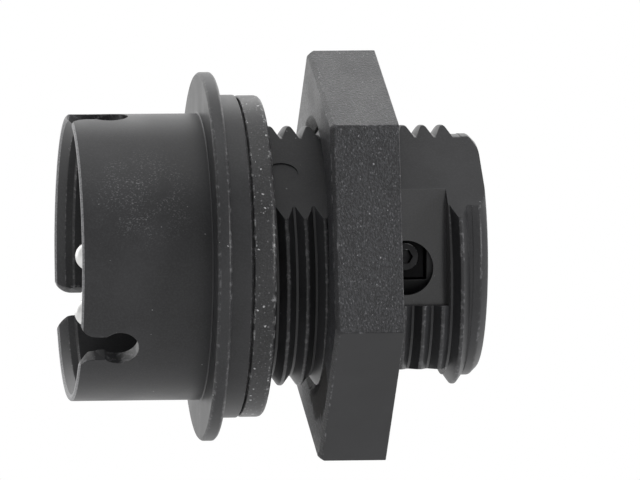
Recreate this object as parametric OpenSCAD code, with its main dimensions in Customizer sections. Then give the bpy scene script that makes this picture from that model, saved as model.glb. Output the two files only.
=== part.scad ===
// Panel-mount circular power connector, three poles.
// X runs along the connector: the mating end faces -X and the wires enter from +X.
// The origin is the centre of the panel seat, which is the rear face of the gasket.
// Angles round X are counted from -Y towards +Z.

/* [Collar] */
// Outside diameter of the coupling collar
collar_d = 21.9; // [18:0.1:26]
// Collar length in front of the flange
collar_len = 10.1; // [8:0.05:14]
// Collar wall thickness
collar_wall = 1.25; // [1:0.05:2]
// Chamfer on the outside edge of the mouth
rim_chamfer = 0.08; // [0.04:0.02:0.2]
// Lead-in chamfer inside the mouth
lead_in = 0.75; // [0.2:0.05:0.85]
// Depth of the shallow step inside the mouth
step_depth = 1.3; // [0.9:0.05:2]
// Radial height of that step
step_h = 0.15; // [0.05:0.05:0.3]

/* [Keyhole notches] */
// Number of notches
notch_count = 3; // [2:1:4]
// Turn of the first notch from straight up
notch_turn = -8.4; // [-60:0.1:60]
// Round end of the notch
notch_hole_d = 3; // [2:0.1:4]
// Distance from the mouth to the centre of the round end
notch_hole_depth = 3.2; // [2.5:0.1:5]
// Width of the neck
notch_neck_w = 2.2; // [1.5:0.1:2.6]
// Radius of the rounded lips at the mouth
lip_r = 1.35; // [0.8:0.05:1.6]

/* [Flange and gasket] */
// Flange diameter
flange_d = 28.2; // [25:0.1:34]
// Flange thickness
flange_t = 1.1; // [0.8:0.05:2]
// Edge break on the flange
flange_break = 0.18; // [0.05:0.01:0.3]
// Shoulder diameter behind the flange
shoulder_d = 24.7; // [22:0.1:28]
// Shoulder length
shoulder_len = 1.85; // [1:0.05:4]
// Gasket diameter
gasket_d = 24.6; // [22:0.1:28]
// Gasket thickness
gasket_t = 1.75; // [1:0.05:3]
// Edge break on the gasket
gasket_break = 0.16; // [0.05:0.01:0.3]
// How far the plain land under the gasket stops short of the panel seat
land_relief = 0.3; // [0.1:0.05:0.6]

/* [Barrel thread] */
// Thread crest diameter
thread_d = 19.86; // [18:0.02:22]
// Thread pitch
pitch = 1.5; // [1:0.1:2]
// Radial depth of the thread
thread_depth = 0.72; // [0.4:0.02:0.9]
// Axial width of the crest
crest_w = 0.3; // [0.2:0.01:0.6]
// Axial width of the root
root_w = 0.2; // [0.1:0.01:0.4]
// Number of thread crests
crest_count = 10; // [6:1:14]
// Distance from the panel seat to the first crest
first_crest = 1.1; // [0.8:0.05:2]

/* [Barrel] */
// Barrel length behind the panel seat
barrel_len = 16.55; // [16:0.05:24]
// Diameter of the plain rear rim
rear_rim_d = 18.5; // [17:0.1:20]
// Chamfer on the rear rim
rear_chamfer = 0.6; // [0.2:0.05:1]
// Bore for the contact carrier
barrel_bore_d = 14.8; // [14:0.1:15.2]
// Bore for the terminal block
block_bore_d = 12.7; // [12.6:0.1:12.8]
// Height of the long marking flat above the centre line
mark_flat_h = 8.3; // [8.2:0.05:9]
// Direction of the marking flat
mark_flat_angle = 51; // [46:1:56]
// Height of the line and neutral terminal flats above the centre line
side_flat_h = 6.85; // [6.8:0.05:7.2]
// Height of the earth terminal flat above the centre line
earth_flat_h = 8.65; // [8.2:0.05:9]
// Start of the terminal flats behind the panel seat
side_flat_start = 7.4; // [6:0.05:9]
// End of the terminal flats behind the panel seat
side_flat_end = 13.55; // [12:0.05:14]
// End of the earth terminal flat behind the panel seat
earth_flat_end = 14; // [12:0.05:14.2]
// Distance from the middle of a terminal flat to its closed side
side_flat_low = 3.7; // [3:0.1:6]
// Screw access hole diameter
access_d = 4.1; // [3:0.1:5]
// Distance from the panel seat to the terminal screws
screw_x = 10.4; // [10:0.05:10.6]
// Sideways shift of the access hole from the screw
access_shift = -0.9; // [-0.9:0.05:0]

/* [Lock nut] */
// Across flats
nut_af = 27.5; // [24:0.1:32]
// Nut thickness
nut_t = 5.25; // [3:0.05:8]
// Distance from the panel seat to the nut as it is set
nut_x = 4.1; // [0.5:0.05:6]
// Turn of the first corner
nut_turn = 38.5; // [0:0.5:60]
// Chamfer along the front edges
nut_chamfer = 0.3; // [0.1:0.02:0.8]
// Chamfer at both ends of the nut bore
nut_bore_chamfer = 0.7; // [0.3:0.05:1]
// Running clearance of the nut on the thread
nut_clear = 0.06; // [0.03:0.01:0.1]

/* [Contacts] */
// Pin diameter
pin_d = 2.2; // [1.5:0.1:3]
// Stem diameter inside the carrier
stem_d = 2.6; // [2.3:0.1:2.9]
// Distance from the centre line to the pins
pin_r = 4.2; // [3.8:0.1:4.6]
// Distance from the mouth to the line and neutral pin tips
pin_set_back = 1.1; // [0.6:0.1:2.5]
// How far the earth pin reaches ahead of the others
earth_lead = 0.5; // [0:0.1:0.5]
// Collar that locks the contact between the insulators
contact_collar_d = 3.4; // [3:0.1:3.6]
// Thickness of that collar
contact_collar_t = 1; // [0.6:0.1:1.4]
// Tongue width
tongue_w = 2; // [1.4:0.1:2]
// Tongue thickness
tongue_t = 0.6; // [0.4:0.1:0.6]
// Distance from the centre line to the inner face of the tongue
tongue_h = 4.25; // [4.2:0.05:4.3]

/* [Insulators] */
// Depth of the contact carrier front below the mouth
carrier_depth = 8.2; // [7.2:0.1:9.2]
// Thickness of the carrier disc
carrier_disc_t = 1.2; // [0.8:0.1:2]
// Height of the turret round each pin
turret_h = 0.8; // [0.4:0.1:1.5]
// Turret diameter
turret_d = 3.8; // [3.2:0.1:4]
// Distance from the panel seat to the joint between the insulators
split_x = 1; // [0.5:0.1:2]
// Rear face of the terminal block behind the panel seat
block_end = 14.2; // [14.15:0.05:14.4]
// Wire entry diameter
wire_d = 1.3; // [1:0.1:1.4]
// Distance from the centre line to the wire entries
wire_r = 3.5; // [3.4:0.05:3.55]
// Funnel on each wire entry
wire_funnel = 0.3; // [0.1:0.05:0.4]

/* [Clamps] */
// Cage length along the connector
cage_len = 3.2; // [2.6:0.1:3.2]
// Cage width
cage_w = 3.3; // [3:0.1:3.3]
// Wall of the cage
cage_wall = 0.5; // [0.4:0.05:0.6]
// Threaded top wall of the cage
cage_top_t = 0.6; // [0.5:0.05:0.6]
// Distance from the centre line to the underside of the open cage
cage_low = 2.3; // [2.3:0.05:2.4]
// Lift from open to clamped
cage_lift = 0.55; // [0.4:0.05:0.55]
// Screw thread diameter
screw_d = 1.6; // [1.4:0.1:1.6]
// Screw head diameter
screw_head_d = 2.1; // [1.8:0.1:2.1]
// Screw head height
screw_head_h = 0.7; // [0.5:0.05:0.7]
// Driver socket across its corners
socket_d = 1.15; // [0.9:0.05:1.2]
// Driver socket depth
socket_depth = 0.45; // [0.2:0.05:0.5]

/* [Seal and ring] */
// O-ring section
seal_d = 1.03; // [0.9:0.01:1.1]
// Distance from the panel seat to the O-ring, in front of it
seal_x = 3.2; // [2.5:0.1:4]
// Retaining ring thickness
ring_t = 0.9; // [0.6:0.05:1]
// How far the ring reaches into its groove
ring_bite = 0.5; // [0.3:0.05:0.55]
// How far the ring reaches in from the bore
ring_reach = 0.8; // [0.5:0.05:1.2]
// Opening of the ring
ring_gap = 24; // [10:1:40]

/* [Hidden] */
$fn = 96;
line_angle = 0;
earth_angle = -90;
neutral_angle = 180;
pole_angles = [line_angle, earth_angle, neutral_angle];
fit_gap = 0.04;
slack = 0.1;
overcut = 1;
seat_x = -gasket_t;
flange_back_x = seat_x - shoulder_len;
flange_front_x = flange_back_x - flange_t;
mouth_x = flange_front_x - collar_len;
collar_r = collar_d / 2;
collar_bore_r = collar_r - collar_wall;
lip_sink = 0.1;
lip_x = mouth_x + lip_r - lip_sink;
flange_r = flange_d / 2;
shoulder_r = shoulder_d / 2;
gasket_r = gasket_d / 2;
crest_r = thread_d / 2;
root_r = crest_r - thread_depth;
rear_rim_r = rear_rim_d / 2;
bore_r = barrel_bore_d / 2;
block_bore_r = block_bore_d / 2;
flank_w = (pitch - crest_w - root_w) / 2;
thread_end = first_crest + (crest_count - 0.5) * pitch;
ridge_sink = 0.1;
ridge_half = crest_w / 2 + flank_w * (1 + ridge_sink / thread_depth);
carrier_front_x = mouth_x + carrier_depth;
floor_x = carrier_front_x + carrier_disc_t;
insulator_r = bore_r - fit_gap;
block_r = block_bore_r - fit_gap;
ring_x = block_end;
groove_r = block_bore_r + ring_bite + fit_gap;
nut_bore_r = crest_r + nut_clear;
nut_corner_r = nut_af / 2 / cos(30);
nut_front_r = nut_corner_r - nut_chamfer / cos(30);
pin_tip_x = mouth_x + pin_set_back;
contact_collar_x = split_x - contact_collar_t;
cage_x = screw_x - cage_len / 2;
tongue_end = cage_x + cage_len + slack / 2;
cage_window_low = cage_low + cage_wall;
cage_window_high = tongue_h + tongue_t + fit_gap;
cage_high = cage_window_high + cage_top_t;
screw_tip_h = tongue_h + tongue_t + fit_gap;
screw_head_low = cage_high + cage_lift + fit_gap;
pocket_w = cage_w + 2 * slack;
pocket_low = cage_low - slack;

// Turned form round the X axis from [radius, x] points
module turned(points) {
    rotate([0, 90, 0])
        rotate_extrude()
            polygon(points);
}

// Solid rod along X
module rod(r, from, to) {
    translate([from, 0, 0])
        rotate([0, 90, 0])
            cylinder(r = r, h = to - from);
}

// Children drawn for the pole that faces -Y, turned to another pole
module pole(angle) {
    rotate([-angle, 0, 0])
        children();
}

// Rod that points away from the centre line towards -Y
module spoke(r, from, to, x, side = 0) {
    translate([x, -from, side])
        rotate([90, 0, 0])
            cylinder(r = r, h = to - from);
}

// Block from inner to outer height above the centre line, towards -Y
module slab(x0, x1, low, high, side0, side1) {
    translate([x0, -high, side0])
        cube([x1 - x0, high - low, side1 - side0]);
}

// Outside of the moulding, without the thread
module housing_outside() {
    turned([
        [0, mouth_x],
        [collar_r - rim_chamfer, mouth_x],
        [collar_r, mouth_x + rim_chamfer],
        [collar_r, flange_front_x],
        [flange_r - flange_break, flange_front_x],
        [flange_r, flange_front_x + flange_break],
        [flange_r, flange_back_x - flange_break],
        [flange_r - flange_break, flange_back_x],
        [shoulder_r, flange_back_x],
        [shoulder_r, seat_x],
        [crest_r, seat_x],
        [crest_r, -land_relief],
        [root_r, -land_relief],
        [root_r, thread_end],
        [rear_rim_r, thread_end],
        [rear_rim_r, barrel_len - rear_chamfer],
        [rear_rim_r - rear_chamfer, barrel_len],
        [0, barrel_len],
    ]);
}

// One thread ridge
module ridge(x) {
    turned([
        [root_r - ridge_sink, x - ridge_half],
        [crest_r, x - crest_w / 2],
        [crest_r, x + crest_w / 2],
        [root_r - ridge_sink, x + ridge_half],
    ]);
}

// Space inside the collar, the bore and the ring groove
module housing_inside() {
    turned([
        [0, mouth_x - overcut],
        [collar_bore_r + step_h + lead_in, mouth_x - overcut],
        [collar_bore_r + step_h + lead_in, mouth_x],
        [collar_bore_r + step_h, mouth_x + lead_in],
        [collar_bore_r + step_h, mouth_x + step_depth],
        [collar_bore_r, mouth_x + step_depth + step_h],
        [collar_bore_r, floor_x],
        [bore_r, floor_x],
        [bore_r, split_x + fit_gap],
        [block_bore_r, split_x + fit_gap],
        [block_bore_r, ring_x - fit_gap],
        [groove_r, ring_x - fit_gap],
        [groove_r, ring_x + ring_t + fit_gap],
        [block_bore_r, ring_x + ring_t + fit_gap],
        [block_bore_r, barrel_len + overcut],
        [0, barrel_len + overcut],
    ]);
}

// Keyhole notch through the collar wall on the -Y side, with rounded lips
module notch() {
    low = collar_bore_r - overcut;
    high = collar_r + overcut;
    neck_half = notch_neck_w / 2;
    spoke(notch_hole_d / 2, low, high, mouth_x + notch_hole_depth);
    slab(lip_x, mouth_x + notch_hole_depth, low, high, -neck_half, neck_half);
    difference() {
        slab(mouth_x - overcut, lip_x, low, high, -neck_half - lip_r, neck_half + lip_r);
        for (side = [-1, 1])
            spoke(lip_r, low - overcut, high + overcut, lip_x, side * (neck_half + lip_r));
    }
}

// Flat cut beside one terminal, with its screw hole
module terminal_cut() {
    wide = crest_r;
    far = crest_r + overcut;
    slab(side_flat_start, side_flat_end, side_flat_h, far, -side_flat_low, wide);
    spoke(access_d / 2, block_bore_r - overcut, far, screw_x, access_shift);
}

// Flat under one terminal that is open to both sides
module terminal_cut_open() {
    wide = crest_r;
    far = crest_r + overcut;
    slab(side_flat_start, earth_flat_end, earth_flat_h, far, -wide, wide);
    spoke(access_d / 2, block_bore_r - overcut, far, screw_x, access_shift);
}

module housing() {
    color("#26272a")
        difference() {
            union() {
                housing_outside();
                for (k = [0 : crest_count - 1])
                    ridge(first_crest + k * pitch);
            }
            housing_inside();
            for (k = [0 : notch_count - 1])
                pole(90 + notch_turn + k * 360 / notch_count)
                    notch();
            pole(mark_flat_angle)
                slab(0, barrel_len + overcut, mark_flat_h, crest_r + overcut, -crest_r, crest_r);
            pole(line_angle)
                terminal_cut();
            pole(earth_angle)
                terminal_cut_open();
            pole(neutral_angle)
                terminal_cut();
        }
}

module flange_gasket() {
    inner_r = crest_r + fit_gap;
    color("#1c1d1f")
        turned([
            [inner_r, seat_x],
            [gasket_r - gasket_break, seat_x],
            [gasket_r, seat_x + gasket_break],
            [gasket_r, -gasket_break],
            [gasket_r - gasket_break, 0],
            [inner_r, 0],
        ]);
}

module lock_nut() {
    color("#2a2b2e")
        difference() {
            rotate([-nut_turn, 0, 0])
                translate([nut_x, 0, 0])
                    rotate([0, 90, 0])
                        rotate([0, 0, 90]) {
                            cylinder(r1 = nut_front_r, r2 = nut_corner_r, h = nut_chamfer, $fn = 6);
                            translate([0, 0, nut_chamfer])
                                cylinder(r = nut_corner_r, h = nut_t - nut_chamfer, $fn = 6);
                        }
            turned([
                [0, nut_x - overcut],
                [nut_bore_r + nut_bore_chamfer, nut_x - overcut],
                [nut_bore_r + nut_bore_chamfer, nut_x],
                [nut_bore_r, nut_x + nut_bore_chamfer],
                [nut_bore_r, nut_x + nut_t - nut_bore_chamfer],
                [nut_bore_r + nut_bore_chamfer, nut_x + nut_t],
                [nut_bore_r + nut_bore_chamfer, nut_x + nut_t + overcut],
                [0, nut_x + nut_t + overcut],
            ]);
        }
}

module contact_carrier() {
    disc_r = collar_bore_r - fit_gap;
    groove_low = bore_r - seal_d - fit_gap / 2;
    groove_half = seal_d / 2 + slack;
    color("#303236")
        difference() {
            union() {
                turned([
                    [0, carrier_front_x],
                    [disc_r, carrier_front_x],
                    [disc_r, floor_x],
                    [insulator_r, floor_x],
                    [insulator_r, -seal_x - groove_half],
                    [groove_low, -seal_x - groove_half],
                    [groove_low, -seal_x + groove_half],
                    [insulator_r, -seal_x + groove_half],
                    [insulator_r, split_x],
                    [0, split_x],
                ]);
                for (a = pole_angles)
                    pole(a)
                        translate([0, -pin_r, 0])
                            rod(turret_d / 2, carrier_front_x - turret_h, carrier_front_x + slack);
            }
            for (a = pole_angles)
                pole(a)
                    translate([0, -pin_r, 0]) {
                        rod(stem_d / 2 + fit_gap, carrier_front_x - overcut, split_x + overcut);
                        rod(contact_collar_d / 2 + fit_gap, contact_collar_x, split_x + overcut);
                    }
        }
}

module terminal_block() {
    tongue_half = tongue_w / 2 + fit_gap;
    color("#3a3c40")
        difference() {
            rod(block_r, split_x, block_end);
            for (a = pole_angles)
                pole(a) {
                    slab(split_x - overcut, screw_x, tongue_h - fit_gap, tongue_h + tongue_t + fit_gap,
                        -tongue_half, tongue_half);
                    slab(cage_x - slack, cage_x + cage_len + slack, pocket_low, block_bore_r + overcut,
                        -pocket_w / 2, pocket_w / 2);
                    translate([0, -wire_r, 0]) {
                        rod(wire_d / 2, screw_x, block_end + overcut);
                        turned([
                            [0, block_end - wire_funnel],
                            [wire_d / 2, block_end - wire_funnel],
                            [wire_d / 2 + wire_funnel, block_end],
                            [0, block_end],
                        ]);
                    }
                }
        }
}

// Plated contact: round pin, collar and clamp tongue
module contact(lead = 0) {
    tip_r = pin_d / 2;
    tip_x = pin_tip_x - lead + tip_r;
    translate([0, -pin_r, 0]) {
        rod(tip_r, tip_x, split_x);
        rod(stem_d / 2, carrier_front_x - turret_h, split_x);
        translate([tip_x, 0, 0])
            sphere(r = tip_r);
        rod(contact_collar_d / 2, contact_collar_x, split_x);
    }
    slab(split_x - slack, tongue_end, tongue_h, tongue_h + tongue_t, -tongue_w / 2, tongue_w / 2);
}

module line_contact() {
    color("#c9ccd0")
        pole(line_angle)
            contact();
}

module neutral_contact() {
    color("#c9ccd0")
        pole(neutral_angle)
            contact();
}

module earth_contact() {
    color("#c9ccd0")
        pole(earth_angle)
            contact(earth_lead);
}

// Rising cage, drawn open
module cage() {
    window_half = cage_w / 2 - cage_wall;
    difference() {
        slab(cage_x, cage_x + cage_len, cage_low, cage_high, -cage_w / 2, cage_w / 2);
        slab(cage_x - overcut, cage_x + cage_len + overcut, cage_window_low, cage_window_high,
            -window_half, window_half);
        spoke(screw_d / 2 + fit_gap, cage_window_high - slack, cage_high + overcut, screw_x);
    }
}

module line_cage() {
    color("#9aa0a6")
        pole(line_angle)
            cage();
}

module neutral_cage() {
    color("#9aa0a6")
        pole(neutral_angle)
            cage();
}

module earth_cage() {
    color("#9aa0a6")
        pole(earth_angle)
            cage();
}

// Captive clamp screw
module clamp_screw() {
    top = screw_head_low + screw_head_h;
    difference() {
        union() {
            spoke(screw_d / 2, screw_tip_h, screw_head_low + slack, screw_x);
            spoke(screw_head_d / 2, screw_head_low, top, screw_x);
        }
        spoke(socket_d / 2, top - socket_depth, top + overcut, screw_x, $fn = 6);
    }
}

module line_screw() {
    color("#aeb3b8")
        pole(line_angle)
            clamp_screw();
}

module neutral_screw() {
    color("#aeb3b8")
        pole(neutral_angle)
            clamp_screw();
}

module earth_screw() {
    color("#aeb3b8")
        pole(earth_angle)
            clamp_screw();
}

module carrier_seal() {
    section_r = seal_d / 2;
    color("#7a3b2e")
        rotate([0, 90, 0])
            translate([0, 0, -seal_x])
                rotate_extrude()
                    translate([bore_r - section_r - fit_gap / 4, 0])
                        circle(r = section_r, $fn = 48);
}

module retaining_ring() {
    outer_r = block_bore_r + ring_bite;
    inner_r = block_bore_r - ring_reach;
    half = ring_gap / 2;
    reach = 2 * outer_r;
    color("#8d9298")
        difference() {
            turned([
                [inner_r, ring_x],
                [outer_r, ring_x],
                [outer_r, ring_x + ring_t],
                [inner_r, ring_x + ring_t],
            ]);
            translate([ring_x - overcut, 0, 0])
                rotate([90, 0, 90])
                    linear_extrude(height = ring_t + 2 * overcut)
                        polygon([
                            [0, 0],
                            [-reach * sin(half), reach * cos(half)],
                            [reach * sin(half), reach * cos(half)],
                        ]);
        }
}

housing();
flange_gasket();
lock_nut();
contact_carrier();
terminal_block();
line_contact();
neutral_contact();
earth_contact();
line_cage();
neutral_cage();
earth_cage();
line_screw();
neutral_screw();
earth_screw();
carrier_seal();
retaining_ring();
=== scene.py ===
import math
import bmesh
import bpy
from mathutils import Matrix, Vector


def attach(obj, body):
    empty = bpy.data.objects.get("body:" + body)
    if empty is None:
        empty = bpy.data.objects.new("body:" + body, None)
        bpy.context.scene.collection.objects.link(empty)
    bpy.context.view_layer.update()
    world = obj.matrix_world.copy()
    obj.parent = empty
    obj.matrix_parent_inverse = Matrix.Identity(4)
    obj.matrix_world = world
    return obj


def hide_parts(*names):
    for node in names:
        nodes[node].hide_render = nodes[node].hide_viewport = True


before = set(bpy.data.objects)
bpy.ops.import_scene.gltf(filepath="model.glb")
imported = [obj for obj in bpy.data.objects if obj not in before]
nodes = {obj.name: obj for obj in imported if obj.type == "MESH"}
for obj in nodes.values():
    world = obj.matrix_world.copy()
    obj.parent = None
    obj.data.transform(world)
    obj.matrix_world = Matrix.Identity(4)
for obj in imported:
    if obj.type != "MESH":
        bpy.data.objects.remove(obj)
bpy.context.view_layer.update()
scene = bpy.context.scene
mm = 0.001


# mesh helpers, all in millimetres until finishPiece

meshRules = {
    "turnedMerge": 1e-5, "packedMerge": 0.0005, "rodSegments": 72,
    "carvedMerge": 0.002, "carvedThin": 0.001, "carvedFlat": 0.4,  # clean-up after carving
    "softSegments": 2, "softMerge": 0.004, "softThin": 0.002,  # softened edges, and the clean-up after them
    "stripWidth": 0.2, "stripBend": 9,  # rounded strips that count as outer edges
    "sharpAngle": 38, "areaWeight": 50,
}


def putInOrder(bm):
    # bevels and booleans leave their elements in another order each run, so they are sorted by place
    for elements, place in ((bm.verts, lambda v: tuple(v.co)),
                            (bm.edges, lambda e: sorted(tuple(v.co) for v in e.verts)),
                            (bm.faces, lambda f: sorted(tuple(v.co) for v in f.verts))):
        rank = {element: i for i, element in enumerate(sorted(elements, key=place))}
        elements.sort(key=rank.get)
        elements.index_update()


def newPiece(name, bm):
    putInOrder(bm)
    mesh = bpy.data.meshes.new(name)
    bm.to_mesh(mesh)
    bm.free()
    piece = bpy.data.objects.new(name, mesh)
    scene.collection.objects.link(piece)
    return piece


def bakeModifiers(piece):
    graph = bpy.context.evaluated_depsgraph_get()
    mesh = bpy.data.meshes.new_from_object(piece.evaluated_get(graph))
    piece.modifiers.clear()
    piece.data = mesh


def outlineFace(bm, outline, segments=3):
    # outline is (x, height, rounding); heights point towards -Y
    corners = [bm.verts.new((x, -h, 0)) for x, h, _ in outline]
    bm.faces.new(corners)
    for rounding in sorted({p[2] for p in outline if p[2]}):
        picked = [v for v, p in zip(corners, outline) if p[2] == rounding]
        bmesh.ops.bevel(bm, geom=picked, affect="VERTICES", offset=rounding, segments=segments,
                        profile=0.5, material=-1)


def turnedPiece(name, outline, steps):
    bm = bmesh.new()
    outlineFace(bm, outline)
    bmesh.ops.delete(bm, geom=bm.faces[:], context="FACES_ONLY")
    bmesh.ops.spin(bm, geom=bm.verts[:] + bm.edges[:], cent=(0, 0, 0), axis=(1, 0, 0),
                   angle=math.tau, steps=steps, use_merge=True)
    bmesh.ops.remove_doubles(bm, verts=bm.verts[:], dist=meshRules["turnedMerge"])
    bmesh.ops.recalc_face_normals(bm, faces=bm.faces[:])
    return newPiece(name, bm)


def blockPiece(name, low, high):
    bm = bmesh.new()
    bmesh.ops.create_cube(bm, size=1)
    size = [b - a for a, b in zip(low, high)]
    centre = [(a + b) / 2 for a, b in zip(low, high)]
    bmesh.ops.scale(bm, vec=size, verts=bm.verts[:])
    bmesh.ops.translate(bm, vec=centre, verts=bm.verts[:])
    return newPiece(name, bm)


def turnAbout(bm, axis, angle):
    bmesh.ops.rotate(bm, cent=(0, 0, 0), matrix=Matrix.Rotation(angle, 3, axis), verts=bm.verts[:])


def rodPiece(name, radius, low, high, x, side=0):
    # rod that points towards -Y, from one height to another
    bm = bmesh.new()
    bmesh.ops.create_cone(bm, cap_ends=True, segments=meshRules["rodSegments"], radius1=radius,
                          radius2=radius, depth=high - low)
    turnAbout(bm, "X", math.radians(90))
    bmesh.ops.translate(bm, vec=(x, -(low + high) / 2, side), verts=bm.verts[:])
    bmesh.ops.recalc_face_normals(bm, faces=bm.faces[:])
    return newPiece(name, bm)


def toPole(piece, angle):
    piece.data.transform(Matrix.Rotation(math.radians(-angle), 4, "X"))
    return piece


def carve(piece, tool, operation="DIFFERENCE"):
    modifier = piece.modifiers.new("carve", "BOOLEAN")
    modifier.operation = operation
    modifier.solver = "EXACT"
    modifier.object = tool
    bakeModifiers(piece)
    bpy.data.objects.remove(tool)


def softenEdges(piece, width, angle, where=None):
    r = meshRules
    bm = bmesh.new()
    bm.from_mesh(piece.data)
    putInOrder(bm)
    bmesh.ops.remove_doubles(bm, verts=bm.verts[:], dist=r["carvedMerge"])
    bmesh.ops.dissolve_degenerate(bm, edges=bm.edges[:], dist=r["carvedThin"])
    bmesh.ops.dissolve_limit(bm, angle_limit=math.radians(r["carvedFlat"]), verts=bm.verts[:],
                             edges=bm.edges[:])
    sharp = [e for e in bm.edges if e.is_manifold and e.calc_face_angle(0) > math.radians(angle)
             and (where is None or where(e))]
    bmesh.ops.bevel(bm, geom=sharp, affect="EDGES", offset=width, segments=r["softSegments"], profile=0.5,
                    material=-1, clamp_overlap=False)
    putInOrder(bm)
    bmesh.ops.remove_doubles(bm, verts=bm.verts[:], dist=r["softMerge"])
    bmesh.ops.dissolve_degenerate(bm, edges=bm.edges[:], dist=r["softThin"])
    bm.to_mesh(piece.data)
    bm.free()
    return len(sharp)


def markEdges(mesh):
    # a face value that is 1 on the narrow rounded strips along outer edges
    width, bend = meshRules["stripWidth"], math.radians(meshRules["stripBend"])
    bm = bmesh.new()
    bm.from_mesh(mesh)
    layer = bm.faces.layers.float.new("edgeTouch")
    for face in bm.faces:
        longest = max(e.calc_length() for e in face.edges)
        bent = any(e.is_manifold and e.calc_face_angle_signed(0) > bend for e in face.edges)
        face[layer] = 1.0 if bent and face.calc_area() < width * longest else 0.0
    bm.to_mesh(mesh)
    bm.free()


def finishPiece(piece, body, material, replaced, sharp=meshRules["sharpAngle"]):
    mesh = piece.data
    markEdges(mesh)
    mesh.transform(Matrix.Scale(mm, 4))
    mesh.materials.clear()
    mesh.materials.append(material)
    for polygon in mesh.polygons:
        polygon.use_smooth = True
        polygon.material_index = 0
    mesh.set_sharp_from_angle(angle=math.radians(sharp))
    # normals weighed by face area, so that wide faces stay even beside narrow rounded edges
    weigh = piece.modifiers.new("weigh", "WEIGHTED_NORMAL")
    weigh.mode = "FACE_AREA"
    weigh.weight = meshRules["areaWeight"]
    weigh.keep_sharp = True
    bakeModifiers(piece)
    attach(piece, body)
    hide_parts(*replaced)
    print("piece", piece.name, len(piece.data.polygons), "faces on", body)


def copyOf(node, name):
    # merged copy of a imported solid, in millimetres
    bm = bmesh.new()
    bm.from_mesh(nodes[node].data)
    bmesh.ops.scale(bm, vec=(1 / mm, 1 / mm, 1 / mm), verts=bm.verts[:])
    bmesh.ops.remove_doubles(bm, verts=bm.verts[:], dist=meshRules["packedMerge"])
    return newPiece(name, bm)


# node helpers

def emptyTree(owner):
    owner.use_nodes = True
    owner.node_tree.nodes.clear()
    return owner.node_tree


def wire(tree, node, wires):
    for socket, source in wires.items():
        if isinstance(source, bpy.types.NodeSocket):
            tree.links.new(source, node.inputs[socket])
        else:
            node.inputs[socket].default_value = source


def addNode(tree, kind, wires=None, **settings):
    node = tree.nodes.new("ShaderNode" + kind)
    for key, value in settings.items():
        setattr(node, key, value)
    wire(tree, node, wires or {})
    return node


def addMath(tree, operation, a, b=0.0):
    return addNode(tree, "Math", {0: a, 1: b}, operation=operation).outputs[0]


def addVector(tree, operation, a, b=(0.0, 0.0, 0.0)):
    outputs = addNode(tree, "VectorMath", {0: a, 1: b}, operation=operation).outputs
    return outputs["Value" if operation in ("LENGTH", "DISTANCE", "DOT_PRODUCT") else "Vector"]


def addNoise(tree, place, scale, detail, rough=0.5):
    return addNode(tree, "TexNoise", {"Vector": place, "Scale": scale, "Detail": detail,
                                      "Roughness": rough}).outputs[0]


def addRange(tree, value, low, high, toLow=0.0, toHigh=1.0, smooth=True):
    kind = "SMOOTHSTEP" if smooth else "LINEAR"
    return addNode(tree, "MapRange", {"Value": value, "From Min": low, "From Max": high, "To Min": toLow,
                                      "To Max": toHigh}, interpolation_type=kind).outputs["Result"]


def addMix(tree, factor, a, b):
    return addNode(tree, "Mix", {0: factor, 6: a, 7: b}, data_type="RGBA").outputs[2]


def addValueMix(tree, factor, a, b):
    return addNode(tree, "Mix", {0: factor, 2: a, 3: b}).outputs[0]


def alongAxis(tree, place):
    return addNode(tree, "SeparateXYZ", {0: place}).outputs[0]


def newGroup(name, inputs, outputs):
    # an input without a starting value is a vector
    group = bpy.data.node_groups.new(name, "ShaderNodeTree")
    for label, default in inputs.items():
        kind = "NodeSocketVector" if default is None else "NodeSocketFloat"
        socket = group.interface.new_socket(name=label, in_out="INPUT", socket_type=kind)
        if default is not None:
            socket.default_value = default
    for label in outputs:
        group.interface.new_socket(name=label, in_out="OUTPUT", socket_type="NodeSocketFloat")
    start = group.nodes.new("NodeGroupInput").outputs
    end = group.nodes.new("NodeGroupOutput").inputs
    return group, start, end


def placeGroup(tree, group, wires):
    node = tree.nodes.new("ShaderNodeGroup")
    node.node_tree = group
    wire(tree, node, wires)
    return node.outputs


# shared surface effects

def makeMouldGrain():
    group, start, end = newGroup("mouldGrain", {"Vector": None, "Grain": 6000.0, "Patch": 300.0},
                                 ["Height", "Tone"])
    fine = addNoise(group, start["Vector"], start["Grain"], detail=3.0, rough=0.6)
    broad = addNoise(group, start["Vector"], start["Patch"], detail=4.0, rough=0.55)
    group.links.new(fine, end["Height"])
    group.links.new(addRange(group, broad, 0.32, 0.68), end["Tone"])
    return group


def makeDustSpecks():
    group, start, end = newGroup("dustSpecks", {"Vector": None, "Scale": 1800.0, "Size": 0.1, "Share": 0.1},
                                 ["Mask"])
    wobble = addNoise(group, start["Vector"], scale=9000.0, detail=1.0)
    cells = addNode(group, "TexVoronoi", {"Vector": start["Vector"], "Scale": start["Scale"]})
    lots = addNode(group, "SeparateColor", {"Color": cells.outputs["Color"]}).outputs
    chosen = addMath(group, "GREATER_THAN", start["Share"], lots[0])
    size = addRange(group, lots[1], 0.0, 1.0, 0.35, 1.0, False)
    shape = addRange(group, wobble, 0.3, 0.7, 0.5, 1.4, False)
    reach = addMath(group, "MULTIPLY", addMath(group, "MULTIPLY", start["Size"], size), shape)
    inside = addMath(group, "GREATER_THAN", reach, cells.outputs["Distance"])
    group.links.new(addMath(group, "MULTIPLY", chosen, inside), end["Mask"])
    return group


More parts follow.
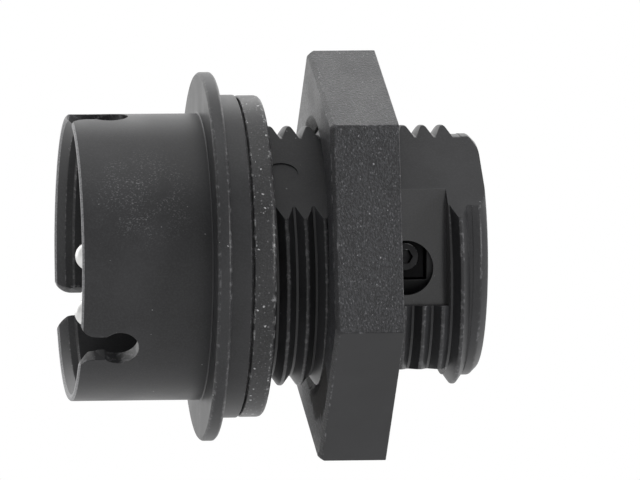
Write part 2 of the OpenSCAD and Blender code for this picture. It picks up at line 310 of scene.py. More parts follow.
# painted highlight and wear: a paler colour on the narrow strips along outer edges, broken by noise, partly
# rubbed edges and partly the light lines that edges catch
def makeEdgeWearAndHighlight():
    group, start, end = newGroup("edgeWearAndHighlight", {"Vector": None, "Scale": 1500.0, "Amount": 0.5}, ["Mask"])
    edge = addNode(group, "Attribute", attribute_name="edgeTouch").outputs["Fac"]
    breaks = addNoise(group, start["Vector"], start["Scale"], detail=4.0, rough=0.7)
    paleWearAndHighlight = addMath(group, "MULTIPLY", edge, addRange(group, breaks, 0.5, 0.64))
    group.links.new(addMath(group, "MULTIPLY", paleWearAndHighlight, start["Amount"]), end["Mask"])
    return group


def makeScuffPatch():
    group, start, end = newGroup("scuffPatch", {"Vector": None, "Centre": None, "Radius": 0.003}, ["Mask"])
    away = addVector(group, "DISTANCE", start["Vector"], start["Centre"])
    near = addRange(group, addMath(group, "DIVIDE", away, start["Radius"]), 0.25, 1.0, 1.0, 0.0)
    stretched = addVector(group, "MULTIPLY", start["Vector"], (0.75, 1.0, 1.0))
    fine = addRange(group, addNoise(group, stretched, scale=9500.0, detail=3.0, rough=0.6), 0.53, 0.7)
    patch = addRange(group, addNoise(group, start["Vector"], scale=700.0, detail=3.0), 0.34, 0.6)
    marks = addMath(group, "MULTIPLY", fine, patch)
    group.links.new(addMath(group, "MULTIPLY", marks, near), end["Mask"])
    return group


def makeFlatFace():
    # a flat that faces one way at one height, between two places along the connector
    group, start, end = newGroup("flatFace", {"Vector": None, "Facing": None, "Height": 0.0, "Reach": 0.0001,
                                              "Low": 0.0, "High": 0.0}, ["Mask"])
    height = addVector(group, "DOT_PRODUCT", start["Vector"], start["Facing"])
    off = addMath(group, "ABSOLUTE", addMath(group, "SUBTRACT", height, start["Height"]))
    close = addMath(group, "LESS_THAN", off, start["Reach"])
    along = alongAxis(group, start["Vector"])
    after = addMath(group, "GREATER_THAN", along, start["Low"])
    before = addMath(group, "LESS_THAN", along, start["High"])
    group.links.new(addMath(group, "MULTIPLY", close, addMath(group, "MULTIPLY", after, before)), end["Mask"])
    return group


mouldGrain = makeMouldGrain()
dustSpecks = makeDustSpecks()
edgeWearAndHighlight = makeEdgeWearAndHighlight()
scuffPatch = makeScuffPatch()
flatFace = makeFlatFace()


# materials

finishRules = {
    "mottleGrain": (0.4, 0.68), "bandFade": 0.0004, "cleanLean": (0.7, 0.95),
    "rimGrain": (0.35, 0.6), "rimShare": (0.5, 1.0),
    "metalEdgeWearAndLightScale": 2500.0, "metalBumpDepth": 0.00001,
}


def startMaterial(name):
    material = bpy.data.materials.new(name)
    tree = emptyTree(material)
    shader = addNode(tree, "BsdfPrincipled")
    addNode(tree, "OutputMaterial", {"Surface": shader.outputs[0]})
    return material, tree, shader, addNode(tree, "TexCoord").outputs["Object"]


def placeSpecks(tree, place, look, kind):
    if kind not in look:
        return 0.0
    return placeGroup(tree, dustSpecks, {"Vector": place, "Scale": look[kind + "Scale"],
                                         "Size": look[kind + "Size"], "Share": look[kind + "Share"]})["Mask"]


def paintedShadeMasks(tree, place, patch):
    # painted shade: a ragged dark patch on the nut's front face below the barrel and on part of the bore's
    # chamfer, where barrel and gasket shade it, and a rougher haze round it
    away = addVector(tree, "DIVIDE", addVector(tree, "SUBTRACT", place, patch["centre"]), patch["reach"])
    noise = addNoise(tree, place, patch["noise"], detail=4.0, rough=0.6)
    ragged = addRange(tree, noise, 0.3, 0.7, -patch["ragged"], patch["ragged"], False)
    away = addMath(tree, "ADD", addVector(tree, "LENGTH", away), ragged)
    spread = addVector(tree, "LENGTH", addVector(tree, "MULTIPLY", place, (0.0, 1.0, 1.0)))
    inBore = addMath(tree, "MULTIPLY", addMath(tree, "LESS_THAN", spread, patch["boreRadius"]),
                     patch["boreShare"])
    onFront = addMath(tree, "LESS_THAN", alongAxis(tree, place), patch["faceEnd"])
    onFace = addMath(tree, "MAXIMUM", onFront, inBore)
    shaded = addMath(tree, "MULTIPLY", addRange(tree, away, *patch["shadeFade"], 1.0, 0.0), onFace)
    hazy = addMath(tree, "MULTIPLY", addRange(tree, away, *patch["hazeFade"], 1.0, 0.0), onFace)
    return shaded, hazy


def mouldedFinish(name, look):
    r = finishRules
    material, tree, shader, place = startMaterial(name)
    drawn = addVector(tree, "MULTIPLY", place, look["drawn"]) if "drawn" in look else place
    grain = placeGroup(tree, mouldGrain, {"Vector": drawn, "Grain": look["grain"], "Patch": look["patch"]})
    edgeWearAndLight = placeGroup(tree, edgeWearAndHighlight, {"Vector": place, "Scale": look["edgeWearAndLightScale"], "Amount": look["edgeWearAndLight"]})
    dust = placeSpecks(tree, drawn, look, "dust")
    grit = placeSpecks(tree, drawn, look, "grit")
    mottle = addRange(tree, grain["Height"], *r["mottleGrain"], 0.0, look["mottle"])
    relief = grain["Height"]
    if "dustBand" in look:
        low, high = look["dustBand"]
        along = alongAxis(tree, place)
        rise = addRange(tree, along, low - r["bandFade"], low, look["dustElse"], 1.0)
        fall = addRange(tree, along, high, high + r["bandFade"], 1.0, look["dustElse"])
        dust = addMath(tree, "MULTIPLY", dust, addMath(tree, "MULTIPLY", rise, fall))
    if "cleanSide" in look:
        lean = addVector(tree, "DOT_PRODUCT", addNode(tree, "TexCoord").outputs["Normal"], look["cleanSide"])
        dusty = addRange(tree, lean, *r["cleanLean"], 1.0, 0.0)
        dust, grit, mottle, relief = (addMath(tree, "MULTIPLY", mask, dusty)
                                      for mask in (dust, grit, mottle, relief))
    # painted shade: a band over the nut's front chamfer keeps no dust, grit or mottle, so it stays darker
    # where the flange shades it
    if "chamferShadeBand" in look:
        low, high = look["chamferShadeBand"]
        band = placeGroup(tree, flatFace, {"Vector": place, "Facing": (1.0, 0.0, 0.0), "Reach": 1.0,
                                           "Low": low, "High": high})["Mask"]
        speckled = addMath(tree, "SUBTRACT", 1.0, band)
        dust, grit, mottle = (addMath(tree, "MULTIPLY", mask, speckled) for mask in (dust, grit, mottle))

    colour = addMix(tree, grain["Tone"], look["dark"], look["light"])
    colour = addMix(tree, mottle, colour, look["speckle"])
    if "grit" in look:
        colour = addMix(tree, grit, colour, look["grit"])
    if "scuff" in look:
        scuffs = placeGroup(tree, scuffPatch, {"Vector": place, "Centre": look["scuff"],
                                               "Radius": look["scuffRadius"]})["Mask"]
        colour = addMix(tree, scuffs, colour, look["paleWearAndHighlight"])
    # paler outer edges: partly wear, partly painted highlight
    colour = addMix(tree, edgeWearAndLight["Mask"], colour, look["paleWearAndHighlight"])
    # pale mouth rim: partly worn flash, partly painted highlight along the rim's edges
    if "paleRimWearAndHighlight" in look:
        inRim = addMath(tree, "LESS_THAN", alongAxis(tree, place), look["rimEnd"])
        rimWearAndHighlight = addRange(tree, grain["Height"], *r["rimGrain"], *r["rimShare"])
        colour = addMix(tree, addMath(tree, "MULTIPLY", inRim, rimWearAndHighlight), colour, look["paleRimWearAndHighlight"])
    colour = addMix(tree, dust, colour, look["dust"])

    rough = addRange(tree, grain["Tone"], 0.0, 1.0, *look["rough"], False)
    # painted shade: the patch darkens the colour, and the patch and its haze raise the roughness
    if "paintedShadePatch" in look:
        patch = look["paintedShadePatch"]
        shaded, hazy = paintedShadeMasks(tree, place, patch)
        colour = addMix(tree, shaded, colour, patch["shadeTone"])
        rough = addValueMix(tree, hazy, rough, patch["hazeRough"])
        rough = addValueMix(tree, shaded, rough, patch["shadeRough"])
    for flat in look.get("flats", ()):
        mask = placeGroup(tree, flatFace, {"Vector": place, **flat["where"]})["Mask"]
        rough = addValueMix(tree, mask, rough, flat["polish"])
        if "gloss" in flat:
            tree.links.new(addMath(tree, "MULTIPLY", mask, flat["gloss"]), shader.inputs["Coat Weight"])
            shader.inputs["Coat Roughness"].default_value = flat["polish"]
    bump = addNode(tree, "Bump", {"Strength": look["bump"], "Distance": look["bumpDepth"], "Height": relief})
    wire(tree, shader, {"Base Color": colour, "Roughness": rough, "Normal": bump.outputs[0],
                        "Specular IOR Level": look["specular"]})
    return material


def metalFinish(name, look):
    r = finishRules
    material, tree, shader, place = startMaterial(name)
    grain = placeGroup(tree, mouldGrain, {"Vector": place, "Grain": look["grain"], "Patch": look["patch"]})
    edgeWearAndLight = placeGroup(tree, edgeWearAndHighlight, {"Vector": place, "Scale": r["metalEdgeWearAndLightScale"], "Amount": look["edgeWearAndLight"]})
    colour = addMix(tree, grain["Tone"], look["dark"], look["light"])
    # paler outer edges on metal: partly wear, partly painted highlight
    colour = addMix(tree, edgeWearAndLight["Mask"], colour, look["paleWearAndHighlight"])
    rough = addRange(tree, grain["Tone"], 0.0, 1.0, *look["rough"], False)
    bump = addNode(tree, "Bump", {"Strength": look["bump"], "Distance": r["metalBumpDepth"],
                                  "Height": grain["Height"]})
    wire(tree, shader, {"Base Color": colour, "Roughness": rough, "Normal": bump.outputs[0], "Metallic": 1.0})
    return material


# lengths in the finishes are in metres
# each finish's pale wear colour also serves as painted highlight along outer edges
housingFinish = mouldedFinish("blackMoulding", {
    "dark": (0.0175, 0.0176, 0.0189, 1), "light": (0.0255, 0.0257, 0.0275, 1),
    "speckle": (0.042, 0.0423, 0.045, 1), "mottle": 0.35, "grain": 7000.0, "patch": 260.0,
    "rough": (0.36, 0.42), "specular": 0.36, "bump": 0.3, "bumpDepth": 0.000012,
    "edgeWearAndLight": 0.5, "edgeWearAndLightScale": 2600.0, "paleWearAndHighlight": (0.17, 0.17, 0.176, 1),
    "dust": (0.36, 0.36, 0.37, 1), "dustScale": 1500.0, "dustSize": 0.1, "dustShare": 0.16,
    "dustBand": (-0.0047, -0.0036), "dustElse": 0.4,
    "scuff": (-0.0099, -0.0096, 0.0051), "scuffRadius": 0.0052,
    # pale mouth rim: partly wear, partly painted highlight
    "paleRimWearAndHighlight": (0.26, 0.26, 0.268, 1), "rimEnd": -0.01451,
    "flats": ({"where": {"Facing": (0.0, -0.6293, 0.7771), "Height": 0.0083, "Reach": 0.00012,
                         "Low": 0.0, "High": 0.017}, "polish": 0.6},
              {"where": {"Facing": (0.0, -1.0, 0.0), "Height": 0.00685, "Reach": 0.00001,
                         "Low": 0.0074, "High": 0.01356}, "polish": 0.16, "gloss": 0.65})})
nutFinish = mouldedFinish("nutMoulding", {
    "dark": (0.015, 0.0152, 0.0165, 1), "light": (0.022, 0.0223, 0.0242, 1),
    "speckle": (0.085, 0.0858, 0.093, 1), "mottle": 0.45, "grain": 7200.0, "patch": 320.0,
    "drawn": (1.0, 0.65, 0.65), "rough": (0.38, 0.45), "specular": 0.36, "bump": 1.0, "bumpDepth": 0.00008,
    "edgeWearAndLight": 0.8, "edgeWearAndLightScale": 1400.0, "paleWearAndHighlight": (0.14, 0.14, 0.147, 1),
    "grit": (0.1, 0.101, 0.107, 1), "gritScale": 6400.0, "gritSize": 0.36, "gritShare": 0.48,
    "dust": (0.3, 0.3, 0.314, 1), "dustScale": 2900.0, "dustSize": 0.14, "dustShare": 0.24,
    # the front chamfer band is left without specks, as painted shade
    "cleanSide": (0.0, -0.6401, -0.7683), "chamferShadeBand": (0.00412, 0.00442),
    # painted shade below the barrel, on the front face and the lower bore chamfer
    "paintedShadePatch": {"centre": (0.0041, -0.0032, -0.0098), "reach": (0.002, 0.0056, 0.0027),
                  "shadeTone": (0.014, 0.0125, 0.0115, 1), "faceEnd": 0.00412, "boreRadius": 0.01069,
                  "boreShare": 0.75, "noise": 1100.0, "ragged": 0.2, "shadeFade": (0.9, 1.05),
                  "shadeRough": 1.0, "hazeFade": (1.2, 2.6), "hazeRough": 0.68}})
gasketFinish = mouldedFinish("blackRubber", {
    "dark": (0.02, 0.02, 0.0208, 1), "light": (0.029, 0.029, 0.0302, 1),
    "speckle": (0.07, 0.07, 0.072, 1), "mottle": 0.4, "grain": 7000.0, "patch": 400.0,
    "rough": (0.33, 0.42), "specular": 0.34, "bump": 0.5, "bumpDepth": 0.00002,
    "edgeWearAndLight": 0.9, "edgeWearAndLightScale": 2200.0, "paleWearAndHighlight": (0.26, 0.26, 0.265, 1),
    "grit": (0.12, 0.12, 0.124, 1), "gritScale": 4200.0, "gritSize": 0.32, "gritShare": 0.5,
    "dust": (0.46, 0.46, 0.47, 1), "dustScale": 1900.0, "dustSize": 0.2, "dustShare": 0.5})
insulatorFinish = mouldedFinish("insulator", {
    "dark": (0.0135, 0.0136, 0.0146, 1), "light": (0.02, 0.0202, 0.0216, 1),
    "speckle": (0.035, 0.0353, 0.0375, 1), "mottle": 0.25, "grain": 7000.0, "patch": 350.0,
    "rough": (0.42, 0.52), "specular": 0.35, "bump": 0.25, "bumpDepth": 0.00001,
    "edgeWearAndLight": 0.3, "edgeWearAndLightScale": 2500.0, "paleWearAndHighlight": (0.12, 0.12, 0.124, 1),
    "dust": (0.3, 0.3, 0.3, 1), "dustScale": 1400.0, "dustSize": 0.09, "dustShare": 0.05})
sealFinish = mouldedFinish("sealRubber", {
    "dark": (0.13, 0.048, 0.036, 1), "light": (0.18, 0.07, 0.052, 1),
    "speckle": (0.2, 0.09, 0.07, 1), "mottle": 0.3, "grain": 6000.0, "patch": 500.0,
    "rough": (0.5, 0.62), "specular": 0.4, "bump": 0.3, "bumpDepth": 0.00001,
    "edgeWearAndLight": 0.2, "edgeWearAndLightScale": 1500.0, "paleWearAndHighlight": (0.24, 0.11, 0.09, 1),
    "dust": (0.3, 0.25, 0.24, 1), "dustScale": 1400.0, "dustSize": 0.08, "dustShare": 0.05})
platedFinish = metalFinish("platedContact", {
    "dark": (0.66, 0.66, 0.65, 1), "light": (0.8, 0.8, 0.79, 1), "paleWearAndHighlight": (0.9, 0.9, 0.9, 1),
    "rough": (0.3, 0.4), "grain": 9000.0, "patch": 600.0, "edgeWearAndLight": 0.4, "bump": 0.1})
cageFinish = metalFinish("clampSteel", {
    "dark": (0.008, 0.008, 0.0083, 1), "light": (0.013, 0.013, 0.0134, 1), "paleWearAndHighlight": (0.06, 0.06, 0.062, 1),
    "rough": (0.38, 0.5), "grain": 8000.0, "patch": 700.0, "edgeWearAndLight": 0.4, "bump": 0.2})
# painted shade: the screw steel is near black, standing in for the shade deep in the screw holes
shadedScrewFinish = metalFinish("screwSteelShaded", {
    "dark": (0.02, 0.02, 0.0206, 1), "light": (0.034, 0.034, 0.035, 1), "paleWearAndHighlight": (0.3, 0.3, 0.305, 1),
    "rough": (0.3, 0.42), "grain": 9000.0, "patch": 900.0, "edgeWearAndLight": 0.5, "bump": 0.2})
springFinish = metalFinish("springSteel", {
    "dark": (0.42, 0.43, 0.45, 1), "light": (0.55, 0.56, 0.58, 1), "paleWearAndHighlight": (0.7, 0.7, 0.72, 1),
    "rough": (0.25, 0.38), "grain": 7000.0, "patch": 500.0, "edgeWearAndLight": 0.4, "bump": 0.15})
print("materials made:", len(bpy.data.materials))


# moulded housing: turned shell, one long thread ridge, flats, screw holes and keyhole notches

housing = {
    "mouth": -14.66, "collarRadius": 10.95, "rimChamfer": 0.12, "rimRounding": 0.03,
    "leadIn": 0.75, "leadRounding": 0.05, "lipRounding": 0.04,
    "socketRadius": 9.7, "socketStep": 0.15, "socketStepDepth": 1.3, "stepRounding": 0.03,
    "flangeFront": -4.7, "flangeBack": -3.6, "flangeRadius": 14.1, "flangeBreak": 0.18,
    "flangeRounding": 0.06, "collarFillet": 0.12, "shoulderFillet": 0.08,
    "shoulderRadius": 12.35, "shoulderRounding": 0.07, "seat": -1.75, "seamWidth": 0.17, "seamDepth": 0.45,
    "landRadius": 9.8, "landEnd": -0.3, "rootRadius": 9.21, "threadEnd": 15.35,
    "rearRadius": 9.25, "rear": 16.55, "rearChamfer": 0.6, "rearRounding": 0.12,
    "boreRadius": 7.4, "boreStep": 1.04, "blockRadius": 6.35, "blockRounding": 0.06,
    "ringGroove": (14.16, 15.14, 6.89), "floor": -5.4, "steps": 180, "sharpAngle": 22,
}
thread = {"crestRadius": 9.93, "crestWidth": 0.26, "pitch": 1.4765, "flank": 0.52, "sink": 0.15,
          "start": -0.36, "turns": 10.4, "stepsPerTurn": 96, "crestRounding": 0.08, "crestSegments": 2}
markFlat = {"angle": 51, "height": 8.3, "discX": 1.2, "discSide": -0.1, "discRadius": 1.25, "discDepth": 0.1}
sideFlat = (6.85, -3.7, 13.55)  # height, closed side and end of the line and neutral flats
terminalFlat = {"start": 7.4, "poles": {0: sideFlat, -90: (8.65, -11.0, 14.0), 180: sideFlat}}
screwHole = {"radius": 2.08, "x": 10.48, "side": -0.85, "floor": 5.5}
notch = {"angles": (81.6, 201.6, -38.0), "holeRadius": 1.48, "holeDepth": 3.0, "neck": 2.2, "lip": 1.35,
         "lipSink": 0.1, "lipSegments": 14, "wallInside": 8.6, "wallThrough": 3.4, "ahead": 1, "spare": 0.6,
         "edge": 0.05, "edgeAngle": 50, "edgeZone": -9}
cutter = {"outside": 12, "side": 11, "past": 18}  # how far the cutting blocks and rods reach


def housingOutline(h):
    groove0, groove1, grooveRadius = h["ringGroove"]
    mouth, rear, collar, rim = h["mouth"], h["rear"], h["collarRadius"], h["rimChamfer"]
    inner = h["socketRadius"] + h["socketStep"]
    stepEnd = mouth + h["socketStepDepth"]
    front, back, wide, cut = h["flangeFront"], h["flangeBack"], h["flangeRadius"], h["flangeBreak"]
    shoulder, seam, seat = h["shoulderRadius"], h["seat"] - h["seamWidth"], h["seat"]
    seamFloor, block, rounded = shoulder - h["seamDepth"], h["blockRadius"], h["flangeRounding"]
    return [
        (mouth, inner + h["leadIn"], h["lipRounding"]), (mouth, collar - rim, h["rimRounding"]),
        (mouth + rim, collar, h["rimRounding"]), (front, collar, h["collarFillet"]),
        (front, wide - cut, rounded), (front + cut, wide, rounded), (back - cut, wide, rounded),
        (back, wide - cut, rounded), (back, shoulder, h["shoulderFillet"]),
        (seam, shoulder, h["shoulderRounding"]), (seam, seamFloor, 0), (seat, seamFloor, 0),
        (seat, h["landRadius"], 0), (h["landEnd"], h["landRadius"], 0),
        (h["landEnd"], h["rootRadius"], 0), (h["threadEnd"], h["rootRadius"], 0),
        (h["threadEnd"], h["rearRadius"], 0), (rear - h["rearChamfer"], h["rearRadius"], h["rearRounding"]),
        (rear, h["rearRadius"] - h["rearChamfer"], h["rearRounding"]), (rear, block, h["blockRounding"]),
        (groove1, block, 0), (groove1, grooveRadius, 0), (groove0, grooveRadius, 0), (groove0, block, 0),
        (h["boreStep"], block, 0), (h["boreStep"], h["boreRadius"], 0),
        (h["floor"], h["boreRadius"], 0), (h["floor"], h["socketRadius"], 0),
        (stepEnd + h["socketStep"], h["socketRadius"], h["stepRounding"]),
        (stepEnd, inner, h["stepRounding"]), (mouth + h["leadIn"], inner, h["leadRounding"]),
    ]


def threadRidge(t, root):
    crest, base = t["crestWidth"] / 2, root - t["sink"]
    half = crest + t["flank"] * (1 + t["sink"] / (t["crestRadius"] - root))
    top, rounded = t["crestRadius"], t["crestRounding"]
    bm = bmesh.new()
    outlineFace(bm, [(t["start"] - half, base, 0), (t["start"] - crest, top, rounded),
                     (t["start"] + crest, top, rounded), (t["start"] + half, base, 0)], t["crestSegments"])
    steps = round(t["turns"] * t["stepsPerTurn"])
    bmesh.ops.spin(bm, geom=bm.verts[:] + bm.edges[:] + bm.faces[:], cent=(0, 0, 0), axis=(1, 0, 0),
                   dvec=(t["pitch"] / t["stepsPerTurn"], 0, 0), angle=math.tau * steps / t["stepsPerTurn"],
                   steps=steps)
    bmesh.ops.recalc_face_normals(bm, faces=bm.faces[:])
    return newPiece("threadRidge", bm)


def notchSlot(n, mouth):
    # open slot with rounded lips, drawn flat and pushed through the collar wall
    halfNeck, ahead = n["neck"] / 2, mouth - n["ahead"]
    wide, lipX, deep = halfNeck + n["lip"] + n["spare"], mouth - n["lipSink"], mouth + n["holeDepth"]
    bm = bmesh.new()
    corners = [bm.verts.new((x, -n["wallInside"], side)) for x, side in (
        (ahead, -wide), (lipX, -wide), (lipX, -halfNeck), (deep, -halfNeck), (deep, halfNeck),
        (lipX, halfNeck), (lipX, wide), (ahead, wide))]
    bm.faces.new(corners)
    bmesh.ops.bevel(bm, geom=[corners[2], corners[5]], affect="VERTICES", offset=n["lip"],
                    segments=n["lipSegments"], profile=0.5, material=-1)
    pushed = bmesh.ops.extrude_face_region(bm, geom=bm.faces[:])["geom"]
    bmesh.ops.translate(bm, vec=(0, -n["wallThrough"], 0),
                        verts=[v for v in pushed if isinstance(v, bmesh.types.BMVert)])
    bmesh.ops.recalc_face_normals(bm, faces=bm.faces[:])
    return newPiece("notchSlot", bm)


def buildHousing():
    h, m, s, n = housing, markFlat, screwHole, notch
    outside, side, past = cutter["outside"], cutter["side"], cutter["past"]
    shell = turnedPiece("housingShell", housingOutline(h), h["steps"])
    carve(shell, threadRidge(thread, h["rootRadius"]), "UNION")
    print("thread on:", len(shell.data.polygons), "faces")
    flat = blockPiece("markFlat", (0, -outside, -side), (past, -m["height"], side))
    carve(shell, toPole(flat, m["angle"]))
    disc = rodPiece("markDisc", m["discRadius"], m["height"] - m["discDepth"], outside, m["discX"],
                    m["discSide"])
    carve(shell, toPole(disc, m["angle"]))
    for angle, (height, closedSide, end) in terminalFlat["poles"].items():
        flat = blockPiece("terminalFlat", (terminalFlat["start"], -outside, closedSide), (end, -height, side))
        carve(shell, toPole(flat, angle))
        hole = rodPiece("screwHole", s["radius"], s["floor"], outside, s["x"], s["side"])
        carve(shell, toPole(hole, angle))
    print("flats and screw holes cut:", len(shell.data.polygons), "faces")
    for angle in n["angles"]:
        carve(shell, toPole(notchSlot(n, h["mouth"]), angle))
        hole = rodPiece("notchHole", n["holeRadius"], n["wallInside"], outside, h["mouth"] + n["holeDepth"])
        carve(shell, toPole(hole, angle))
    cutEdges = softenEdges(shell, n["edge"], n["edgeAngle"],
                           where=lambda e: all(v.co.x < n["edgeZone"] for v in e.verts))
    print("notches cut, edges softened:", cutEdges)
    finishPiece(shell, "connector", housingFinish, ["housing"], h["sharpAngle"])


buildHousing()


# hexagonal nut

nut = {"front": 4.1, "thick": 5.25, "acrossFlats": 27.5, "turn": 39.6, "chamfer": 0.3,
       "coneRadius": 15.45, "coneDepth": 0.5, "coneSpare": 0.2, "boreRadius": 9.99, "boreChamfer": 0.7,
       "past": 1, "near": 0.01, "steps": 180, "edge": 0.07, "edgeAngle": 24}


def nutBlank(n, corner):
    front, rear = n["front"], n["front"] + n["thick"]
    bm = bmesh.new()
    bmesh.ops.create_cone(bm, cap_ends=True, segments=6, radius1=corner, radius2=corner, depth=n["thick"])
    turnAbout(bm, "Y", math.radians(90))
    start = min(bm.verts, key=lambda v: v.co.y).co
    turnAbout(bm, "X", math.atan2(start.z, -start.y) - math.radians(n["turn"]))
    bmesh.ops.translate(bm, vec=((front + rear) / 2, 0, 0), verts=bm.verts[:])
    bmesh.ops.recalc_face_normals(bm, faces=bm.faces[:])
    frontEdges = [e for e in bm.edges if all(v.co.x < front + n["near"] for v in e.verts)]
    bmesh.ops.bevel(bm, geom=frontEdges, affect="EDGES", offset=n["chamfer"], segments=1, profile=0.5,
                    material=-1)
    return newPiece("nutBlock", bm)


def buildNut():
    n = nut
    front, rear, past = n["front"], n["front"] + n["thick"], n["past"]
    corner = n["acrossFlats"] / 2 / math.cos(math.radians(30))
    block = nutBlank(n, corner)
    reach = corner + n["coneSpare"]
    deep = (reach - n["coneRadius"]) / (corner - n["coneRadius"]) * n["coneDepth"]
    cone = [(front, 0, 0), (front, n["coneRadius"], 0), (front + deep, reach, 0), (rear + past, reach, 0),
            (rear + past, 0, 0)]
    carve(block, turnedPiece("nutCone", cone, n["steps"]), "INTERSECT")
    bore, cut = n["boreRadius"], n["boreChamfer"]
    wide = bore + cut
    outline = [(front - past, 0, 0), (front - past, wide, 0), (front, wide, 0), (front + cut, bore, 0),
               (rear - cut, bore, 0), (rear, wide, 0), (rear + past, wide, 0), (rear + past, 0, 0)]
    carve(block, turnedPiece("nutBore", outline, n["steps"]))
    print("nut edges softened:", softenEdges(block, n["edge"], n["edgeAngle"]))
    finishPiece(block, "nut", nutFinish, ["lock_nut"])


buildNut()


# rubber gasket

gasket = {"front": -1.75, "rear": 0.0, "innerRadius": 9.97, "innerRounding": 0.05, "outerRadius": 12.3,
          "rounding": 0.18, "rearRounding": 0.36, "steps": 180}


def buildGasket():
    g = gasket
    inner, outer, innerRounding = g["innerRadius"], g["outerRadius"], g["innerRounding"]
    outline = [(g["front"], inner, innerRounding), (g["front"], outer, g["rounding"]),
               (g["rear"], outer, g["rearRounding"]), (g["rear"], inner, innerRounding)]
    finishPiece(turnedPiece("gasketRing", outline, g["steps"]), "connector", gasketFinish,
                ["flange_gasket"])


buildGasket()


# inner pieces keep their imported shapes, with softened edges

innerEdgeAngle = 40
innerPieces = {
    "contact_carrier": ("carrier", "connector", "insulator", insulatorFinish, 0.06),
    "terminal_block": ("terminalBlock", "connector", "insulator", insulatorFinish, 0.05),
    "carrier_seal": ("sealRing", "connector", "seal_rubber", sealFinish, 0),
    "retaining_ring": ("retainingRing", "connector", "spring_steel", springFinish, 0.06),
}
for pole in ("line", "earth", "neutral"):
    innerPieces[pole + "_contact"] = (pole + "Contact", "connector", "plated_contact", platedFinish, 0.05)
    innerPieces[pole + "_cage"] = (pole + "Cage", pole + "_cage", "clamp_steel", cageFinish, 0.06)
    innerPieces[pole + "_screw"] = (pole + "Screw", pole + "_screw", "screw_steel", shadedScrewFinish, 0.06)
for node, (name, body, slot, finish, edge) in innerPieces.items():
    piece = copyOf(node, name)
    if edge:
        softenEdges(piece, edge, innerEdgeAngle)
    finishPiece(piece, body, finish, [node])


# pale floor, soft light and camera

stage = {"floor": -45, "half": 2500, "floorCells": 8, "floorColour": (0.86, 0.86, 0.86, 1), "whiteShare": 0.5,
         "whiteFrom": 80, "whiteTo": 320}
room = {"headings": (-0.9, 0.2), "front": 0.22, "back": 1.0, "glossTop": 2.0,
        "gloss": ((-1.0, 0.72), (-0.5, 0.8), (0.15, 0.72), (0.38, 0.88), (0.66, 2.0), (0.84, 1.75),
                  (0.97, 1.3))}
lamps = {"topLight": (0.6, 0.45, (-0.05, -0.05, 0.5)),  # power, size and place
         "sideLight": (4.2, 0.35, (0.82, -0.55, 0.18))}
photoView = {"target": (4.71, 0, 1.17), "distance": 1000, "azimuth": -6.78, "elevation": 1.36, "roll": -0.4,
             "lens": 735.0, "sensor": 36, "clip": (0.01, 50)}
white = (1, 1, 1, 1)


def buildFloor():
    s = stage
    bm = bmesh.new()
    bmesh.ops.create_grid(bm, x_segments=s["floorCells"], y_segments=s["floorCells"], size=s["half"] * mm)
    bmesh.ops.translate(bm, vec=(0, 0, s["floor"] * mm), verts=bm.verts[:])
    floor = newPiece("paleFloor", bm)
    material = bpy.data.materials.new("paleFloor")
    tree = emptyTree(material)
    diffuse = addNode(tree, "BsdfDiffuse", {"Color": s["floorColour"]}).outputs[0]
    pale = addNode(tree, "Emission", {"Color": white, "Strength": 1.0}).outputs[0]
    # the floor turns white away from the object, for rays that show it
    rays = addNode(tree, "LightPath").outputs
    seen = addMath(tree, "MAXIMUM", rays["Is Camera Ray"], rays["Is Glossy Ray"])
    seen = addMath(tree, "MAXIMUM", seen, rays["Is Transmission Ray"])
    away = addVector(tree, "LENGTH", addNode(tree, "TexCoord").outputs["Object"])
    far = addRange(tree, away, s["whiteFrom"] * mm, s["whiteTo"] * mm, s["whiteShare"], 1.0)
    share = addMath(tree, "MULTIPLY", seen, far)
    mixed = addNode(tree, "MixShader", {0: share, 1: diffuse, 2: pale}).outputs[0]
    addNode(tree, "OutputMaterial", {"Surface": mixed})
    floor.data.materials.append(material)


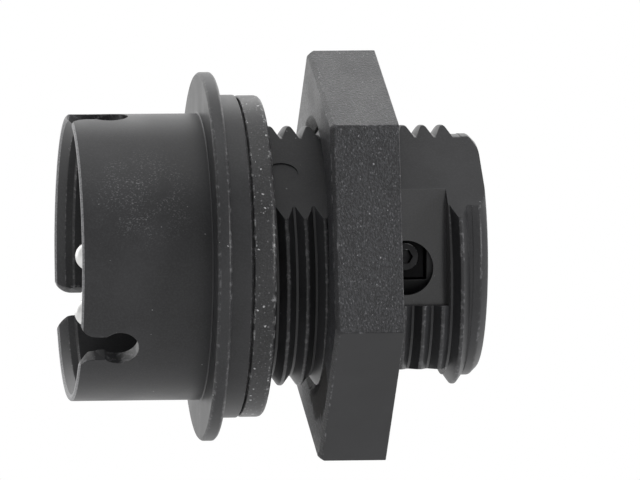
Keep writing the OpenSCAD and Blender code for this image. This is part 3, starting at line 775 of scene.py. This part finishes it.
def buildWorld():
    # white backdrop for camera rays, with a dimmer room in front for light and reflections
    scene.world = scene.world or bpy.data.worlds.new("studio")
    tree = emptyTree(scene.world)
    rays = addNode(tree, "LightPath").outputs
    heading = addNode(tree, "SeparateXYZ", {0: addNode(tree, "TexCoord").outputs["Generated"]}).outputs[1]
    ramp = addNode(tree, "ValToRGB", {0: addRange(tree, heading, -1.0, 1.0, 0.0, 1.0, False)})
    stops = ramp.color_ramp.elements
    while len(stops) < len(room["gloss"]):
        stops.new(0.5)
    for stop, (where, level) in zip(stops, room["gloss"]):
        grey = level / room["glossTop"]
        stop.position = (where + 1) / 2
        stop.color = (grey, grey, grey, 1)
    shine = addMath(tree, "MULTIPLY", ramp.outputs[0], room["glossTop"])
    light = addRange(tree, heading, *room["headings"], room["front"], room["back"])
    around = addValueMix(tree, rays["Is Glossy Ray"], light, shine)
    direct = addMath(tree, "MAXIMUM", rays["Is Camera Ray"], rays["Is Transmission Ray"])
    strength = addMath(tree, "MAXIMUM", around, direct)
    backdrop = addNode(tree, "Background", {"Color": white, "Strength": strength}).outputs[0]
    addNode(tree, "OutputWorld", {"Surface": backdrop})


def buildLamps():
    for name, (power, size, spot) in lamps.items():
        lamp = bpy.data.lights.new(name, "AREA")
        lamp.energy = power
        lamp.size = size
        holder = bpy.data.objects.new(name, lamp)
        scene.collection.objects.link(holder)
        holder.location = spot
        holder.rotation_euler = Vector(spot).to_track_quat("Z", "Y").to_euler()


def buildCamera():
    view = photoView
    az, el, roll = (math.radians(view[k]) for k in ("azimuth", "elevation", "roll"))
    back = Vector((math.sin(az) * math.cos(el), -math.cos(az) * math.cos(el), math.sin(el)))
    right = Vector((math.cos(az), math.sin(az), 0))
    up = back.cross(right)
    right, up = right * math.cos(roll) + up * math.sin(roll), up * math.cos(roll) - right * math.sin(roll)
    lens = bpy.data.cameras.new("photoCamera")
    lens.lens = view["lens"]
    lens.sensor_width = view["sensor"]
    lens.clip_start, lens.clip_end = view["clip"]
    holder = bpy.data.objects.new("photoCamera", lens)
    scene.collection.objects.link(holder)
    holder.matrix_world = Matrix((right, up, back)).transposed().to_4x4()
    holder.location = (Vector(view["target"]) + back * view["distance"]) * mm
    scene.camera = holder


buildFloor()
buildWorld()
buildLamps()
buildCamera()
scene.view_settings.view_transform = "Standard"
print("stage and camera set")
